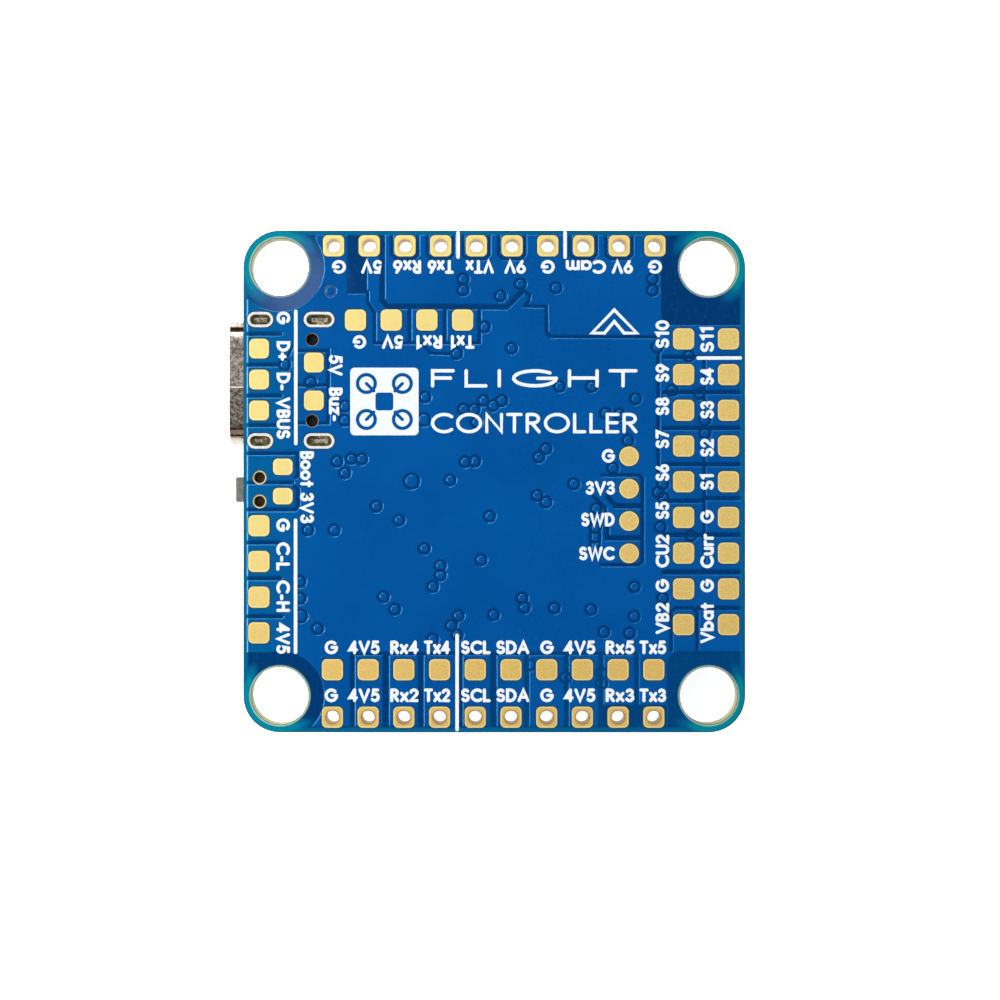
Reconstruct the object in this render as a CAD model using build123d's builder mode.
from build123d import *

import os

# Flight controller board for a small multirotor, as an assembly of its separate pieces.
#
# All lengths are millimetres. The origin is the centre of the square of mounting holes, on
# the face that carries the solder pads. +Z is the outward normal of that face, +Y points to
# the nose of the craft and +X to its right. The connectors, the button and the chips hang
# from the opposite face, so they lie below Z = -BOARD_T. The USB mouth looks along -X.

# ---------------------------------------------------------------- board and mounting holes
MOUNT_PITCH = 30.5  # the hole square that 30 mm class flight stacks share
MOUNT_HOLE = 4.1  # hole diameter for soft mounting grommets
BOARD = 35.7  # side of the square board
BOARD_T = 1.6  # laminate thickness
CORNER_R = (BOARD - MOUNT_PITCH) / 2  # corners are concentric with the mounting holes
UNDER = -BOARD_T  # height of the component face

# ---------------------------------------------------------------- solder pads
COPPER = 0.05  # thickness of the exposed pads, plating included
PITCH = 2.54  # pitch of every row of solder pads
PAD = 1.5  # side of a square pad
PAD_R = 0.36  # corner radius of a square pad
PIN_HOLE = 0.92  # open diameter of a plated through hole
PLATING = 0.05  # wall of a plated hole
ROW_COUNT = 10  # pads in each row along the front and rear edges
FRONT_ROW_Y = 16.76
REAR_ROW_Y = -16.77
REAR_INNER_Y = -13.39
REAR_SHIFT = -0.08  # both rear rows sit a little off the middle
MOTOR_COUNT = 9  # pads in each column along the right edge
MOTOR_INNER_X = 13.47
MOTOR_OUTER_X = 16.66
MOTOR_Y = -0.02  # middle of both columns
UART_COUNT = 4
UART_X = -6.06  # middle of the row behind the front edge
UART_Y = 11.48
CAN_COUNT = 4
CAN_X = -16.74
CAN_Y = -6.96
USB_PAD_COUNT = 3
USB_PAD = 1.4
USB_PAD_PITCH = 2.2
USB_PAD_X = -16.73
USB_PAD_Y = 7.25
BUZZER_PAD = 1.4
BUZZER_PAD_PITCH = 2.7
BUZZER_X = -12.83
BUZZER_Y = 7.11
BOOT_PAD_LENGTH = 1.4
BOOT_PAD_WIDTH = 1.16
BOOT_PAD_PITCH = 2.09
BOOT_PAD_X = -15.04
BOOT_PAD_Y = 0.0
DEBUG_COUNT = 4
DEBUG_PAD = 1.4
DEBUG_PITCH = 2.3
DEBUG_X = 9.59
DEBUG_Y = -1.665

# ---------------------------------------------------------------- USB receptacle
USB_Y = 7.2  # middle of the receptacle
USB_MOUTH_X = -19.05  # plane of the mouth, beyond the board's edge
USB_BACK_X = -11.95  # back of the shell
USB_WIDTH = 8.94
USB_HEIGHT = 3.16
USB_WALL = 0.26
USB_Z = UNDER - USB_HEIGHT / 2  # middle of the receptacle
USB_SEAM_Y = USB_Y - 0.42  # where the two edges of the rolled shell meet
USB_SEAM = 0.07
FINGER_X = -16.6  # middle of the two spring fingers in the outer wall
FINGER_SPAN = 4.6
FINGER_LENGTH = 2.36
FINGER_WIDTH = 0.8
FINGER_CUT = 0.15  # width of the cut round three sides of a finger
LEG_SPAN = 8.64  # between the middles of the two rows of legs
LEG_T = 0.3
LEG_TIP = -0.42  # how far below the pad face the legs end
FRONT_LEG_X = -16.65
REAR_LEG_X = -12.46
FRONT_LEG = 0.85
REAR_LEG = 1.15
SLOT_WIDTH = 0.73  # open width of the plated slots
FRONT_SLOT = 1.48  # open length of the front slots
REAR_SLOT = 1.82
SLOT_RING = 0.18  # width of the ring of plating round a slot
SOLDER_TOP = -0.62  # surface of the solder inside a slot
SOLDER_BOTTOM = UNDER + 0.12
PEG_SPAN = 5.78
PEG_X = -12.96
USB_PEG = 0.72
USB_PEG_HOLE = 0.86
USB_PEG_TIP = -0.3
INSULATOR_FRONT_X = -14.6  # the insulator fills the shell behind this plane
FOOT_FRONT_X = -13.75  # behind this plane the insulator reaches the board
FOOT_WIDTH = 6.9
TONGUE_TIP_X = -18.35
TONGUE_WIDTH = 6.69
TONGUE_T = 0.7
MID_PLATE_T = 0.12
CONTACT_COUNT = 12
CONTACT_PITCH = 0.5
CONTACT_WIDTH = 0.24
CONTACT_T = 0.08
CONTACT_TAIL_X = -11.25
FIT = 0.02  # gap between parts that are pressed or moulded together

# ---------------------------------------------------------------- boot button
BOOT_Y = -0.57
BOOT_FRONT_X = -17.7
BOOT_BACK_X = -14.9
BOOT_WIDTH = 3.5
BOOT_BODY_H = 1.2
BOOT_COVER_T = 0.12
BOOT_PEG_SPAN = 1.7
BOOT_PEG_X = -16.7
BOOT_PEG = 0.6
BOOT_PEG_HOLE = 0.8
BOOT_PEG_TIP = -0.75
PLUNGER_TIP_X = -18.65
PLUNGER_WIDTH = 1.8
PLUNGER_LOW = 0.32  # plunger heights, measured down from the component face
PLUNGER_HIGH = 0.98
PLUNGER_GAP = 0.06

# ---------------------------------------------------------------- cable connectors
SOCKET_DEPTH = 4.25
SOCKET_HEIGHT = 2.95
SOCKET_PITCH = 1.0
SOCKET_SIDE = 1.5  # from the last pin to the outside of the housing
SOCKET_WALL = 0.5
SOCKET_POCKET = 3.1  # depth of the opening for the plug
SOCKET_EDGE = 17.65  # distance of the mouths from the origin
ESC_PINS = 8
ESC_Y = -6.5
VTX_PINS = 6
VTX_Y = -7.8

os.makedirs("parts", exist_ok=True)


def write(node, name):
    """Label a finished piece and write its STEP file."""
    node.part.label = name
    export_step(node.part, f"parts/{name}.step")


def spread(count, pitch, middle=0.0):
    """Positions of a row of things, spaced evenly about its middle."""
    return [middle + (i - (count - 1) / 2) * pitch for i in range(count)]


FRONT_ROW = [(x, FRONT_ROW_Y) for x in spread(ROW_COUNT, PITCH)]
REAR_ROW = [(x, REAR_ROW_Y) for x in spread(ROW_COUNT, PITCH, REAR_SHIFT)]
USB_SLOTS = [
    (x, USB_Y + side * LEG_SPAN / 2, length)
    for x, length in ((FRONT_LEG_X, FRONT_SLOT), (REAR_LEG_X, REAR_SLOT))
    for side in (-1, 1)
]
USB_PEGS = [(PEG_X, USB_Y + side * PEG_SPAN / 2) for side in (-1, 1)]
BOOT_PEGS = [(BOOT_PEG_X, BOOT_Y + side * BOOT_PEG_SPAN / 2) for side in (-1, 1)]


# ================================================================ the board
with BuildPart() as pcb_board:
    with BuildSketch(Plane.XY.offset(UNDER)):
        RectangleRounded(BOARD, BOARD, CORNER_R)
        with GridLocations(MOUNT_PITCH, MOUNT_PITCH, 2, 2):
            Circle(MOUNT_HOLE / 2, mode=Mode.SUBTRACT)
        with Locations(*FRONT_ROW, *REAR_ROW):
            Circle(PIN_HOLE / 2 + PLATING, mode=Mode.SUBTRACT)
        for slot_x, slot_y, slot_length in USB_SLOTS:
            with Locations((slot_x, slot_y)):
                SlotOverall(
                    slot_length + 2 * PLATING, SLOT_WIDTH + 2 * PLATING, mode=Mode.SUBTRACT
                )
        with Locations(*USB_PEGS):
            Circle(USB_PEG_HOLE / 2, mode=Mode.SUBTRACT)
        with Locations(*BOOT_PEGS):
            Circle(BOOT_PEG_HOLE / 2, mode=Mode.SUBTRACT)
    extrude(amount=BOARD_T)
write(pcb_board, "pcb_board")


# ================================================================ solder pads
def surface_pads(name, places, length=PAD, width=PAD):
    """Flat rounded pads on the pad face."""
    with BuildPart() as pads:
        with BuildSketch(Plane.XY):
            with Locations(*places):
                RectangleRounded(length, width, PAD_R)
        extrude(amount=COPPER)
    write(pads, name)


def through_pads(name, places):
    """Plated through holes: a square pad on both faces and the barrel between them."""
    with BuildPart() as pads:
        for plane_z, thickness in ((0.0, COPPER), (UNDER, -COPPER)):
            with BuildSketch(Plane.XY.offset(plane_z)):
                with Locations(*places):
                    RectangleRounded(PAD, PAD, PAD_R)
                    Circle(PIN_HOLE / 2, mode=Mode.SUBTRACT)
            extrude(amount=thickness)
        with BuildSketch(Plane.XY.offset(UNDER)):
            with Locations(*places):
                Circle(PIN_HOLE / 2 + PLATING)
                Circle(PIN_HOLE / 2, mode=Mode.SUBTRACT)
        extrude(amount=BOARD_T)
    write(pads, name)


through_pads("pads_front_row", FRONT_ROW)
through_pads("pads_rear_row", REAR_ROW)
surface_pads("pads_rear_inner_row", [(x, REAR_INNER_Y) for x in spread(ROW_COUNT, PITCH, REAR_SHIFT)])
surface_pads("pads_motor_inner", [(MOTOR_INNER_X, y) for y in spread(MOTOR_COUNT, PITCH, MOTOR_Y)])
surface_pads("pads_motor_outer", [(MOTOR_OUTER_X, y) for y in spread(MOTOR_COUNT, PITCH, MOTOR_Y)])
surface_pads("pads_uart", [(x, UART_Y) for x in spread(UART_COUNT, PITCH, UART_X)])
surface_pads("pads_can", [(CAN_X, y) for y in spread(CAN_COUNT, PITCH, CAN_Y)])
surface_pads(
    "pads_usb",
    [(USB_PAD_X, y) for y in spread(USB_PAD_COUNT, USB_PAD_PITCH, USB_PAD_Y)],
    USB_PAD,
    USB_PAD,
)
surface_pads(
    "pads_buzzer",
    [(BUZZER_X, y) for y in spread(2, BUZZER_PAD_PITCH, BUZZER_Y)],
    BUZZER_PAD,
    BUZZER_PAD,
)
surface_pads(
    "pads_boot",
    [(BOOT_PAD_X, y) for y in spread(2, BOOT_PAD_PITCH, BOOT_PAD_Y)],
    BOOT_PAD_LENGTH,
    BOOT_PAD_WIDTH,
)

with BuildPart() as pads_debug:
    with BuildSketch(Plane.XY):
        with Locations(*[(DEBUG_X, y) for y in spread(DEBUG_COUNT, DEBUG_PITCH, DEBUG_Y)]):
            Circle(DEBUG_PAD / 2)
    extrude(amount=COPPER)
write(pads_debug, "pads_debug")


# ================================================================ USB receptacle
with BuildPart() as usb_slot_plating:
    for slot_x, slot_y, slot_length in USB_SLOTS:
        for plane_z, thickness in ((0.0, COPPER), (UNDER, -COPPER / 2)):
            with BuildSketch(Plane.XY.offset(plane_z)):
                with Locations((slot_x, slot_y)):
                    SlotOverall(slot_length + 2 * SLOT_RING, SLOT_WIDTH + 2 * SLOT_RING)
                    SlotOverall(slot_length, SLOT_WIDTH, mode=Mode.SUBTRACT)
            extrude(amount=thickness)
        with BuildSketch(Plane.XY.offset(UNDER)):
            with Locations((slot_x, slot_y)):
                SlotOverall(slot_length + 2 * PLATING, SLOT_WIDTH + 2 * PLATING)
                SlotOverall(slot_length, SLOT_WIDTH, mode=Mode.SUBTRACT)
        extrude(amount=BOARD_T)
write(usb_slot_plating, "usb_slot_plating")

# Sections of the receptacle are drawn looking along +X, with the local y axis along +Z.
USB_SECTION = Plane(origin=(0, USB_Y, USB_Z), x_dir=(0, 1, 0), z_dir=(1, 0, 0))
SHELL_GAP = COPPER / 2  # the shell stands on the rings of plating
SHELL_HEIGHT = USB_HEIGHT - SHELL_GAP
SHELL_DROP = -SHELL_GAP / 2

with BuildPart() as usb_shell:
    with BuildSketch(USB_SECTION.offset(USB_MOUTH_X)):
        with Locations((0, SHELL_DROP)):
            SlotOverall(USB_WIDTH, SHELL_HEIGHT)
            SlotOverall(
                USB_WIDTH - 2 * USB_WALL, SHELL_HEIGHT - 2 * USB_WALL, mode=Mode.SUBTRACT
            )
    extrude(amount=USB_BACK_X - USB_MOUTH_X)
    # four legs, bent from the sides of the shell into the plated slots
    for leg_x, leg_length in ((FRONT_LEG_X, FRONT_LEG), (REAR_LEG_X, REAR_LEG)):
        with BuildSketch(Plane.XY.offset(USB_Z)):
            with Locations(*[(leg_x, USB_Y + side * LEG_SPAN / 2) for side in (-1, 1)]):
                Rectangle(leg_length, LEG_T)
        extrude(amount=LEG_TIP - USB_Z)
    # the seam of the rolled sheet, in the wall that faces the board
    with BuildSketch(Plane.XY.offset(UNDER - USB_WALL * 2)):
        with Locations(((USB_MOUTH_X + USB_BACK_X) / 2, USB_SEAM_Y)):
            Rectangle(USB_BACK_X - USB_MOUTH_X, USB_SEAM)
    extrude(amount=USB_WALL * 2, mode=Mode.SUBTRACT)
    # the wall facing the board is cut away where the insulator stands on the board
    with BuildSketch(Plane.XY.offset(UNDER - 2 * USB_WALL)):
        with Locations(((FOOT_FRONT_X - FIT + USB_BACK_X) / 2, USB_Y)):
            Rectangle(USB_BACK_X - FOOT_FRONT_X + FIT, FOOT_WIDTH + 2 * FIT)
    extrude(amount=2 * USB_WALL, mode=Mode.SUBTRACT)
    # two spring fingers in the outer wall, each freed by a U-shaped cut
    with BuildSketch(Plane.XY.offset(UNDER - USB_HEIGHT - USB_WALL)):
        with Locations(*[(FINGER_X, USB_Y + side * FINGER_SPAN / 2) for side in (-1, 1)]):
            Rectangle(FINGER_LENGTH + 2 * FINGER_CUT, FINGER_WIDTH + 2 * FINGER_CUT)
            with Locations((FINGER_CUT, 0)):
                Rectangle(FINGER_LENGTH, FINGER_WIDTH, mode=Mode.SUBTRACT)
    extrude(amount=3 * USB_WALL, mode=Mode.SUBTRACT)
write(usb_shell, "usb_shell")

with BuildPart() as usb_contacts:
    # the row that faces the board: blade, step through the insulator, and solder tail
    near_z = TONGUE_T / 2 + CONTACT_T / 2
    tail_z = USB_HEIGHT / 2 - CONTACT_T / 2
    with BuildSketch(Plane(origin=(0, USB_Y, USB_Z), x_dir=(1, 0, 0), z_dir=(0, -1, 0))):
        with BuildLine():
            FilletPolyline(
                (TONGUE_TIP_X + 0.35, near_z),
                (-12.2, near_z),
                (-11.9, tail_z),
                (CONTACT_TAIL_X, tail_z),
                radius=0.12,
            )
        trace(line_width=CONTACT_T)
    extrude(amount=CONTACT_WIDTH / 2, both=True)
    # the far row ends inside the insulator
    with BuildSketch(Plane.XY.offset(USB_Z - TONGUE_T / 2)):
        far_tip = TONGUE_TIP_X + 0.35
        far_end = INSULATOR_FRONT_X + 0.8
        with Locations(((far_tip + far_end) / 2, USB_Y)):
            Rectangle(far_end - far_tip, CONTACT_WIDTH)
    extrude(amount=-CONTACT_T)
    one_place = usb_contacts.part
    with Locations(*[(0, y, 0) for y in spread(CONTACT_COUNT, CONTACT_PITCH)]):
        add(one_place, mode=Mode.REPLACE)
write(usb_contacts, "usb_contacts")

with BuildPart() as usb_mid_plate:
    plate_tip = TONGUE_TIP_X + 0.3
    plate_end = INSULATOR_FRONT_X + 1.0
    with BuildSketch(Plane.XY.offset(USB_Z - MID_PLATE_T / 2)):
        with Locations(((plate_tip + plate_end) / 2, USB_Y)):
            Rectangle(plate_end - plate_tip, TONGUE_WIDTH)
    extrude(amount=MID_PLATE_T)
write(usb_mid_plate, "usb_mid_plate")

with BuildPart() as usb_tongue:
    with BuildSketch(USB_SECTION.offset(TONGUE_TIP_X)):
        RectangleRounded(TONGUE_WIDTH, TONGUE_T, 0.12)
    extrude(amount=INSULATOR_FRONT_X - TONGUE_TIP_X)
    add(usb_mid_plate.part, mode=Mode.SUBTRACT)
write(usb_tongue, "usb_tongue")

with BuildPart() as usb_insulator:
    with BuildSketch(USB_SECTION.offset(INSULATOR_FRONT_X)):
        with Locations((0, SHELL_DROP)):
            inner = 2 * (USB_WALL + FIT)
            SlotOverall(USB_WIDTH - inner, SHELL_HEIGHT - inner)
    extrude(amount=USB_BACK_X - INSULATOR_FRONT_X)
    with BuildSketch(Plane.XY.offset(USB_Z)):
        with Locations(((FOOT_FRONT_X + USB_BACK_X) / 2, USB_Y)):
            Rectangle(USB_BACK_X - FOOT_FRONT_X, FOOT_WIDTH)
    extrude(amount=UNDER - USB_Z)
    with BuildSketch(Plane.XY.offset(USB_Z)):
        with Locations(*USB_PEGS):
            Circle(USB_PEG / 2)
    extrude(amount=USB_PEG_TIP - USB_Z)
    add(usb_contacts.part, mode=Mode.SUBTRACT)
    add(usb_mid_plate.part, mode=Mode.SUBTRACT)
write(usb_insulator, "usb_insulator")

with BuildPart() as usb_leg_solder:
    for slot_x, slot_y, slot_length in USB_SLOTS:
        with BuildSketch(Plane.XY.offset(SOLDER_BOTTOM)):
            with Locations((slot_x, slot_y)):
                SlotOverall(slot_length, SLOT_WIDTH)
                leg_length = FRONT_LEG if slot_x == FRONT_LEG_X else REAR_LEG
                Rectangle(leg_length, LEG_T, mode=Mode.SUBTRACT)
        extrude(amount=SOLDER_TOP - SOLDER_BOTTOM)
write(usb_leg_solder, "usb_leg_solder")


# ================================================================ boot button
# A side-pressed tact switch: moulded base, steel cover, plunger and snap leaf.
CAVITY_FRONT_X = BOOT_FRONT_X + 0.3
CAVITY_BACK_X = BOOT_BACK_X - 1.3
CAVITY_WIDTH = 2.8
CAVITY_FLOOR = UNDER - 0.22
FLANGE_BACK_X = CAVITY_FRONT_X + 0.4
NOSE_X = FLANGE_BACK_X + 0.22
BOOT_FAR = UNDER - BOOT_BODY_H

with BuildPart() as boot_switch_base:
    with BuildSketch(Plane.XY.offset(UNDER)):
        with Locations(((BOOT_FRONT_X + BOOT_BACK_X) / 2, BOOT_Y)):
            Rectangle(BOOT_BACK_X - BOOT_FRONT_X, BOOT_WIDTH)
    extrude(amount=-BOOT_BODY_H)
    chamfer(boot_switch_base.edges().filter_by(Axis.Z), length=0.12)
    with BuildSketch(Plane.XY.offset(CAVITY_FLOOR)):
        with Locations(((CAVITY_FRONT_X + CAVITY_BACK_X) / 2, BOOT_Y)):
            Rectangle(CAVITY_BACK_X - CAVITY_FRONT_X, CAVITY_WIDTH)
    extrude(amount=BOOT_FAR - CAVITY_FLOOR, mode=Mode.SUBTRACT)
    # the window that the plunger passes through, open towards the cover
    with BuildSketch(Plane.XY.offset(UNDER - PLUNGER_LOW + PLUNGER_GAP)):
        with Locations(((BOOT_FRONT_X + CAVITY_FRONT_X) / 2, BOOT_Y)):
            Rectangle(CAVITY_FRONT_X - BOOT_FRONT_X + 0.2, PLUNGER_WIDTH + 2 * PLUNGER_GAP)
    extrude(amount=-BOOT_BODY_H, mode=Mode.SUBTRACT)
    with BuildSketch(Plane.XY.offset(UNDER)):
        with Locations(*BOOT_PEGS):
            Circle(BOOT_PEG / 2)
    extrude(amount=BOOT_PEG_TIP - UNDER)
write(boot_switch_base, "boot_switch_base")

with BuildPart() as boot_switch_cover:
    with BuildSketch(Plane.XY.offset(BOOT_FAR)):
        with Locations(((BOOT_FRONT_X + BOOT_BACK_X) / 2, BOOT_Y)):
            RectangleRounded(BOOT_BACK_X - BOOT_FRONT_X, BOOT_WIDTH, 0.15)
    extrude(amount=-BOOT_COVER_T)
    # two lugs folded down the back wall of the base
    with BuildSketch(Plane.XY.offset(BOOT_FAR - BOOT_COVER_T)):
        with Locations(*[(BOOT_BACK_X + BOOT_COVER_T / 2, BOOT_Y + side) for side in (-1, 1)]):
            Rectangle(BOOT_COVER_T, 0.7)
    extrude(amount=BOOT_BODY_H * 0.6)
write(boot_switch_cover, "boot_switch_cover")

with BuildPart() as boot_switch_plunger:
    plunger_mid = (PLUNGER_LOW + PLUNGER_HIGH) / 2
    plunger_height = PLUNGER_HIGH - PLUNGER_LOW
    with BuildSketch(Plane.XY.offset(UNDER - PLUNGER_LOW)):
        with Locations(((PLUNGER_TIP_X + FLANGE_BACK_X) / 2, BOOT_Y)):
            Rectangle(FLANGE_BACK_X - PLUNGER_TIP_X, PLUNGER_WIDTH)
        with Locations(((CAVITY_FRONT_X + FIT + FLANGE_BACK_X) / 2, BOOT_Y)):
            Rectangle(FLANGE_BACK_X - CAVITY_FRONT_X - FIT, CAVITY_WIDTH - 0.3)
        with Locations(((FLANGE_BACK_X + NOSE_X) / 2, BOOT_Y)):
            Rectangle(NOSE_X - FLANGE_BACK_X, 0.7)
    extrude(amount=-plunger_height)
    tip_edges = boot_switch_plunger.faces().sort_by(Axis.X)[0].edges()
    fillet(tip_edges, radius=0.14)
write(boot_switch_plunger, "boot_switch_plunger")

with BuildPart() as boot_switch_dome:
    # an arched leaf that stands on its edge; its crown touches the plunger's nose
    leaf_half = CAVITY_WIDTH / 2 - 0.1
    leaf_rise = CAVITY_BACK_X - NOSE_X - 0.1
    with BuildSketch(Plane.XY.offset(UNDER - PLUNGER_LOW)):
        with BuildLine():
            ThreePointArc(
                (NOSE_X + 0.05 + leaf_rise, BOOT_Y - leaf_half),
                (NOSE_X + 0.05, BOOT_Y),
                (NOSE_X + 0.05 + leaf_rise, BOOT_Y + leaf_half),
            )
        trace(line_width=0.06)
    extrude(amount=-plunger_height)
write(boot_switch_dome, "boot_switch_dome")

with BuildPart() as boot_switch_terminals:
    with BuildSketch(Plane.XY.offset(UNDER)):
        with Locations(
            *[
                (x, BOOT_Y + side * (BOOT_WIDTH / 2 + 0.28))
                for x in (BOOT_BACK_X - 0.5, BOOT_FRONT_X + 0.55)
                for side in (-1, 1)
            ]
        ):
            Rectangle(0.55, 0.56)
    extrude(amount=-0.15)
write(boot_switch_terminals, "boot_switch_terminals")


# ================================================================ chips and passive parts
# Rectangles on the component face are given as (middle x, middle y, size x, size y).
LEAD_T = 0.14


def under_plane(x, y, outward):
    """A plane across the component face: local x runs outward, local y away from the board."""
    direction = Vector(*outward)
    return Plane(origin=(x, y, UNDER), x_dir=direction, z_dir=direction.cross(Vector(0, 0, -1)))


def block(x, y, size_x, size_y, start, height):
    """A plain block below the component face, from depth start, added to the part in hand."""
    with Locations((x, y, UNDER - start - height / 2)):
        Box(size_x, size_y, height)


def chips(name, bodies, start, height, bevel=0.08, dimple=0.3):
    """Moulded bodies with bevelled edges and a pin-one dimple."""
    with BuildPart() as moulded:
        for x, y, size_x, size_y in bodies:
            block(x, y, size_x, size_y, start, height)
        far = moulded.faces().filter_by(Axis.Z).group_by(Axis.Z)[0]
        chamfer(far.edges(), length=bevel)
        if dimple:
            with BuildSketch(Plane.XY.offset(UNDER - start - height)):
                with Locations(
                    *[(x - sx / 2 + 2.4 * dimple, y + sy / 2 - 2.4 * dimple) for x, y, sx, sy in bodies]
                ):
                    Circle(dimple)
            extrude(amount=0.05, mode=Mode.SUBTRACT)
    write(moulded, name)


def gull_leads(name, rows, width, reach, height):
    """Gull-wing leads. Each place in rows is (x, y, outward) on the side of a body."""
    with BuildPart() as leads:
        for x, y, outward in rows:
            with BuildSketch(under_plane(x, y, outward)):
                with BuildLine():
                    FilletPolyline(
                        (0, height),
                        (reach * 0.36, height),
                        (reach * 0.56, LEAD_T / 2),
                        (reach, LEAD_T / 2),
                        radius=0.08,
                    )
                trace(line_width=LEAD_T)
            extrude(amount=width / 2, both=True)
    write(leads, name)


def side_leads(x, y, half_x, half_y, per_side, pitch, axis="y"):
    """Places of leads along the two sides of a body that face along the given axis."""
    if axis == "y":
        return [
            (place, y + side * half_y, (0, side, 0))
            for side in (-1, 1)
            for place in spread(per_side, pitch, x)
        ]
    return [
        (x + side * half_x, place, (side, 0, 0))
        for side in (-1, 1)
        for place in spread(per_side, pitch, y)
    ]


def chip_parts(bodies_name, terminals_name, places, length, width, height, cap):
    """Two-ended chip parts: bodies and metal ends. A place is (x, y, turned by 90 degrees)."""
    inset = 0.02
    with BuildPart() as bodies:
        for x, y, turned in places:
            sx, sy = length - 2 * cap, width - 2 * inset
            if turned:
                sx, sy = sy, sx
            block(x, y, sx, sy, inset, height - 2 * inset)
    write(bodies, bodies_name)
    with BuildPart() as ends:
        for x, y, turned in places:
            for side in (-1, 1):
                shift = side * (length - cap) / 2
                if turned:
                    block(x, y + shift, width, cap, 0.0, height)
                else:
                    block(x + shift, y, cap, width, 0.0, height)
    write(ends, terminals_name)


MCU = (-0.5, -1.5, 10.0, 10.0)
MCU_LEADS = side_leads(*MCU[:2], 5.0, 5.0, 16, 0.5, "x") + side_leads(*MCU[:2], 5.0, 5.0, 16, 0.5)
chips("mcu_body", [MCU], 0.1, 1.4, bevel=0.15, dimple=0.45)
gull_leads("mcu_leads", MCU_LEADS, 0.22, 1.0, 0.75)

chips("imu_sensor", [(-0.5, -11.0, 3.0, 2.5)], 0.0, 0.9, bevel=0.04, dimple=0.12)

OSD = (0.5, 9.6, 9.7, 4.4)
chips("osd_chip_body", [OSD], 0.1, 0.95, dimple=0.35)
gull_leads("osd_chip_leads", side_leads(*OSD[:2], 4.85, 2.2, 14, 0.65), 0.25, 1.0, 0.55)

FLASH = (8.9, -9.6, 6.0, 5.0)
chips("flash_chip_body", [FLASH], 0.0, 0.8, bevel=0.05, dimple=0.3)
with BuildPart() as flash_chip_terminals:
    for side in (-1, 1):
        for lead_y in spread(4, 1.27, FLASH[1]):
            block(FLASH[0] + side * (FLASH[2] / 2 + 0.06), lead_y, 0.12, 0.42, 0.0, 0.2)
write(flash_chip_terminals, "flash_chip_terminals")

TRANSCEIVER = (-8.6, -12.4, 4.9, 3.9)
chips("can_transceiver_body", [TRANSCEIVER], 0.15, 1.45, bevel=0.15, dimple=0.32)
gull_leads("can_transceiver_leads", side_leads(*TRANSCEIVER[:2], 2.45, 1.95, 4, 1.27), 0.42, 1.05, 0.8)

BUCKS = [(9.3, 9.7, 2.9, 1.6), (9.3, 3.6, 2.9, 1.6)]
chips("buck_converter_bodies", BUCKS, 0.1, 1.0, dimple=0.16)
gull_leads(
    "buck_converter_leads",
    [place for body in BUCKS for place in side_leads(*body[:2], 1.45, 0.8, 3, 0.95)],
    0.4,
    0.6,
    0.55,
)

LDO = (-8.2, 13.2, 2.9, 1.6)
chips("ldo_body", [LDO], 0.1, 1.0, dimple=0.16)
gull_leads("ldo_leads", side_leads(*LDO[:2], 1.45, 0.8, 3, 0.95), 0.4, 0.6, 0.55)

TRANSISTORS = [(8.6, -4.8, 2.9, 1.3), (-9.2, 5.2, 1.6, 2.9), (-11.2, 13.4, 1.3, 2.9)]
chips("transistor_bodies", TRANSISTORS, 0.1, 0.95, dimple=0)
gull_leads(
    "transistor_leads",
    side_leads(8.6, -4.8, 1.45, 0.65, 2, 1.9)[:2]
    + [(8.6, -4.15, (0, 1, 0))]
    + side_leads(-9.2, 5.2, 0.8, 1.45, 3, 0.95, "x")
    + side_leads(-11.2, 13.4, 0.65, 1.45, 2, 1.9, "x")[2:]
    + [(-11.85, 13.4, (-1, 0, 0))],
    0.4,
    0.55,
    0.55,
)

BAROMETER = (-8.8, -7.6, 2.5, 2.0)
BAROMETER_BASE_H = 0.25
BAROMETER_LID_H = 0.7
PORT_R = 0.15  # the hole that lets the air in
with BuildPart() as barometer_base:
    block(*BAROMETER, 0.0, BAROMETER_BASE_H)
write(barometer_base, "barometer_base")
with BuildPart() as barometer_lid:
    baro_x, baro_y, baro_length, baro_width = BAROMETER
    block(baro_x, baro_y, baro_length - 0.2, baro_width - 0.2, BAROMETER_BASE_H, BAROMETER_LID_H)
    lid_faces = barometer_lid.faces().filter_by(Axis.Z).group_by(Axis.Z)[0]
    fillet(lid_faces.edges(), radius=0.15)
    with BuildSketch(Plane.XY.offset(UNDER - BAROMETER_BASE_H - BAROMETER_LID_H)):
        with Locations((baro_x - 4 * PORT_R, baro_y + 3 * PORT_R)):
            Circle(PORT_R)
    extrude(amount=2 * PORT_R, mode=Mode.SUBTRACT)
write(barometer_lid, "barometer_lid")

CRYSTALS = [(-7.8, 9.2, 3.2, 2.5), (-9.05, -1.0, 2.5, 3.2)]
with BuildPart() as crystal_bases:
    for x, y, size_x, size_y in CRYSTALS:
        block(x, y, size_x, size_y, 0.0, 0.45)
write(crystal_bases, "crystal_bases")
with BuildPart() as crystal_lids:
    for x, y, size_x, size_y in CRYSTALS:
        block(x, y, size_x - 0.4, size_y - 0.4, 0.45, 0.25)
    lid_rims = crystal_lids.faces().filter_by(Axis.Z).group_by(Axis.Z)[0]
    fillet(lid_rims.edges(), radius=0.1)
write(crystal_lids, "crystal_lids")

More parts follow.
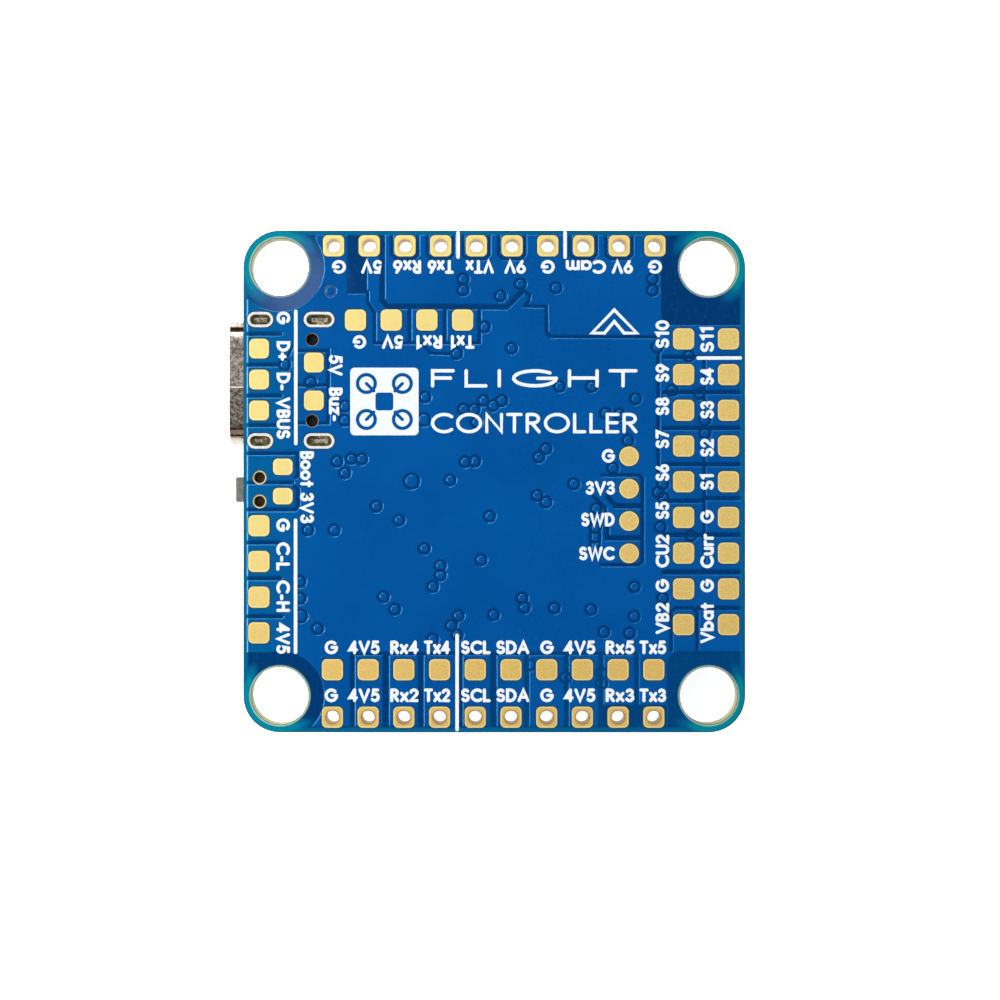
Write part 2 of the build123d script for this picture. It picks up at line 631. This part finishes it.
INDUCTORS = [(14.6, 8.9), (14.6, 3.2)]
INDUCTOR = 4.2
with BuildPart() as inductor_bodies:
    with BuildSketch(Plane.XY.offset(UNDER - 0.1)):
        with Locations(*INDUCTORS):
            RectangleRounded(INDUCTOR, INDUCTOR, 0.4)
    extrude(amount=-1.9)
    inductor_rims = inductor_bodies.faces().filter_by(Axis.Z).group_by(Axis.Z)[0]
    chamfer(inductor_rims.edges(), length=0.15)
write(inductor_bodies, "inductor_bodies")
with BuildPart() as inductor_terminals:
    for x, y in INDUCTORS:
        for side in (-1, 1):
            block(x, y + side * (INDUCTOR / 2 - 0.5), 3.0, 1.0, 0.0, 0.1)
write(inductor_terminals, "inductor_terminals")

BULK_CAPACITORS = [
    (7.7, 12.9, False),
    (10.4, 12.9, False),
    (8.3, 6.6, False),
    (10.9, 6.6, False),
    (8.3, 0.8, False),
    (10.9, 0.8, False),
    (8.3, -1.4, False),
    (10.9, -1.4, False),
]
chip_parts(
    "bulk_capacitor_bodies",
    "bulk_capacitor_terminals",
    BULK_CAPACITORS,
    2.0,
    1.25,
    1.25,
    0.4,
)

ABOVE_MCU = [(x, 5.42, True) for x in spread(9, 1.2, -0.5)]
BELOW_MCU = [(x, -8.4, True) for x in spread(9, 1.2, -0.5)]
LEFT_OF_MCU = [(-7.15, y, False) for y in spread(8, 1.2, -1.0)]
RIGHT_OF_MCU = [(6.35, y, False) for y in spread(8, 1.25, -1.5)]
LEFT_OF_OSD = [(-5.2, y, False) for y in spread(4, 1.3, 9.6)]
RIGHT_OF_OSD = [(6.55, y, False) for y in spread(4, 1.3, 9.3)]
FRONT_PARTS = [(x, 14.35, True) for x in spread(7, 1.5, 0.5)]
SENSOR_PARTS = [(x, y, False) for x in (-3.4, 2.4) for y in (-10.4, -11.6)]
LEFT_PARTS = [(-11.6, y, False) for y in spread(4, 1.2, -6.5)]
REAR_PARTS = [(x, -14.4, True) for x in spread(3, 1.3, 4.6)]
CAPACITORS = (
    ABOVE_MCU[::2] + BELOW_MCU[1::2] + LEFT_OF_MCU[::2] + RIGHT_OF_MCU[1::2]
    + LEFT_OF_OSD + FRONT_PARTS[::2] + SENSOR_PARTS[::2] + LEFT_PARTS[::2]
)
RESISTORS = (
    ABOVE_MCU[1::2] + BELOW_MCU[::2] + LEFT_OF_MCU[1::2] + RIGHT_OF_MCU[::2]
    + RIGHT_OF_OSD + FRONT_PARTS[1::2] + SENSOR_PARTS[1::2] + LEFT_PARTS[1::2] + REAR_PARTS
)
chip_parts(
    "small_capacitor_bodies", "small_capacitor_terminals", CAPACITORS, 1.0, 0.5, 0.5, 0.25
)
chip_parts("resistor_bodies", "resistor_terminals", RESISTORS, 1.0, 0.5, 0.35, 0.22)

LEDS = [(x, -14.4) for x in spread(3, 2.4, -1.6)]
with BuildPart() as status_led_bases:
    for x, y in LEDS:
        block(x, y, 1.6, 0.8, 0.0, 0.25)
write(status_led_bases, "status_led_bases")
with BuildPart() as status_led_lenses:
    for x, y in LEDS:
        block(x, y, 1.0, 0.8, 0.25, 0.35)
    lens_rims = status_led_lenses.faces().filter_by(Axis.Z).group_by(Axis.Z)[0]
    fillet(lens_rims.edges(), radius=0.08)
write(status_led_lenses, "status_led_lenses")

chips("tvs_diode_body", [(9.3, -13.95, 4.3, 2.5)], 0.15, 1.95, bevel=0.2, dimple=0)


# ================================================================ cable connectors
def socket(name, middle_y, facing, pins):
    """A side-entry cable socket: housing, pins and solder tabs. facing is +1 or -1 along X."""
    mouth_x = facing * SOCKET_EDGE
    back_x = mouth_x - facing * SOCKET_DEPTH
    width = (pins - 1) * SOCKET_PITCH + 2 * SOCKET_SIDE
    pocket_mid_x = mouth_x - facing * SOCKET_POCKET / 2
    pin_depth = SOCKET_HEIGHT * 0.5
    rows = spread(pins, SOCKET_PITCH, middle_y)
    with BuildPart() as socket_pins:
        for pin_y in rows:
            with BuildSketch(under_plane(mouth_x - facing * 0.9, pin_y, (-facing, 0, 0))):
                with BuildLine():
                    FilletPolyline(
                        (0, pin_depth),
                        (SOCKET_DEPTH - 0.8, pin_depth),
                        (SOCKET_DEPTH - 0.62, 0.11),
                        (SOCKET_DEPTH - 0.1, 0.11),
                        radius=0.1,
                    )
                trace(line_width=0.2)
            extrude(amount=0.12, both=True)
    write(socket_pins, f"{name}_pins")
    with BuildPart() as socket_tabs:
        for side in (-1, 1):
            tab_y = middle_y + side * (width / 2 + 0.1)
            block(mouth_x - facing * 1.3, tab_y, 1.2, 0.2, 0.0, 1.3)
            block(mouth_x - facing * 1.3, tab_y + side * 0.28, 1.2, 0.4, 0.0, 0.2)
    write(socket_tabs, f"{name}_tabs")
    with BuildPart() as housing:
        block((mouth_x + back_x) / 2, middle_y, SOCKET_DEPTH, width, 0.0, SOCKET_HEIGHT)
        vertical = housing.edges().filter_by(Axis.Z)
        chamfer(vertical, length=0.15)
        pocket_width = width - 2 * SOCKET_WALL
        pocket_height = SOCKET_HEIGHT - 2 * SOCKET_WALL
        with BuildSketch(Plane.XY.offset(UNDER - SOCKET_WALL)):
            with Locations((pocket_mid_x, middle_y)):
                Rectangle(SOCKET_POCKET, pocket_width)
        extrude(amount=-pocket_height, mode=Mode.SUBTRACT)
        # keyways at both ends of the outer wall, where the plug's ribs slide in
        with BuildSketch(Plane.XY.offset(UNDER - SOCKET_HEIGHT)):
            with Locations(
                *[(mouth_x - facing * 0.9, middle_y + side * (width / 2 - 1.35)) for side in (-1, 1)]
            ):
                Rectangle(1.8, 0.7)
        extrude(amount=SOCKET_WALL, mode=Mode.SUBTRACT)
        add(socket_pins.part, mode=Mode.SUBTRACT)
    write(housing, f"{name}_housing")


socket("esc_connector", ESC_Y, 1, ESC_PINS)
socket("vtx_connector", VTX_Y, -1, VTX_PINS)
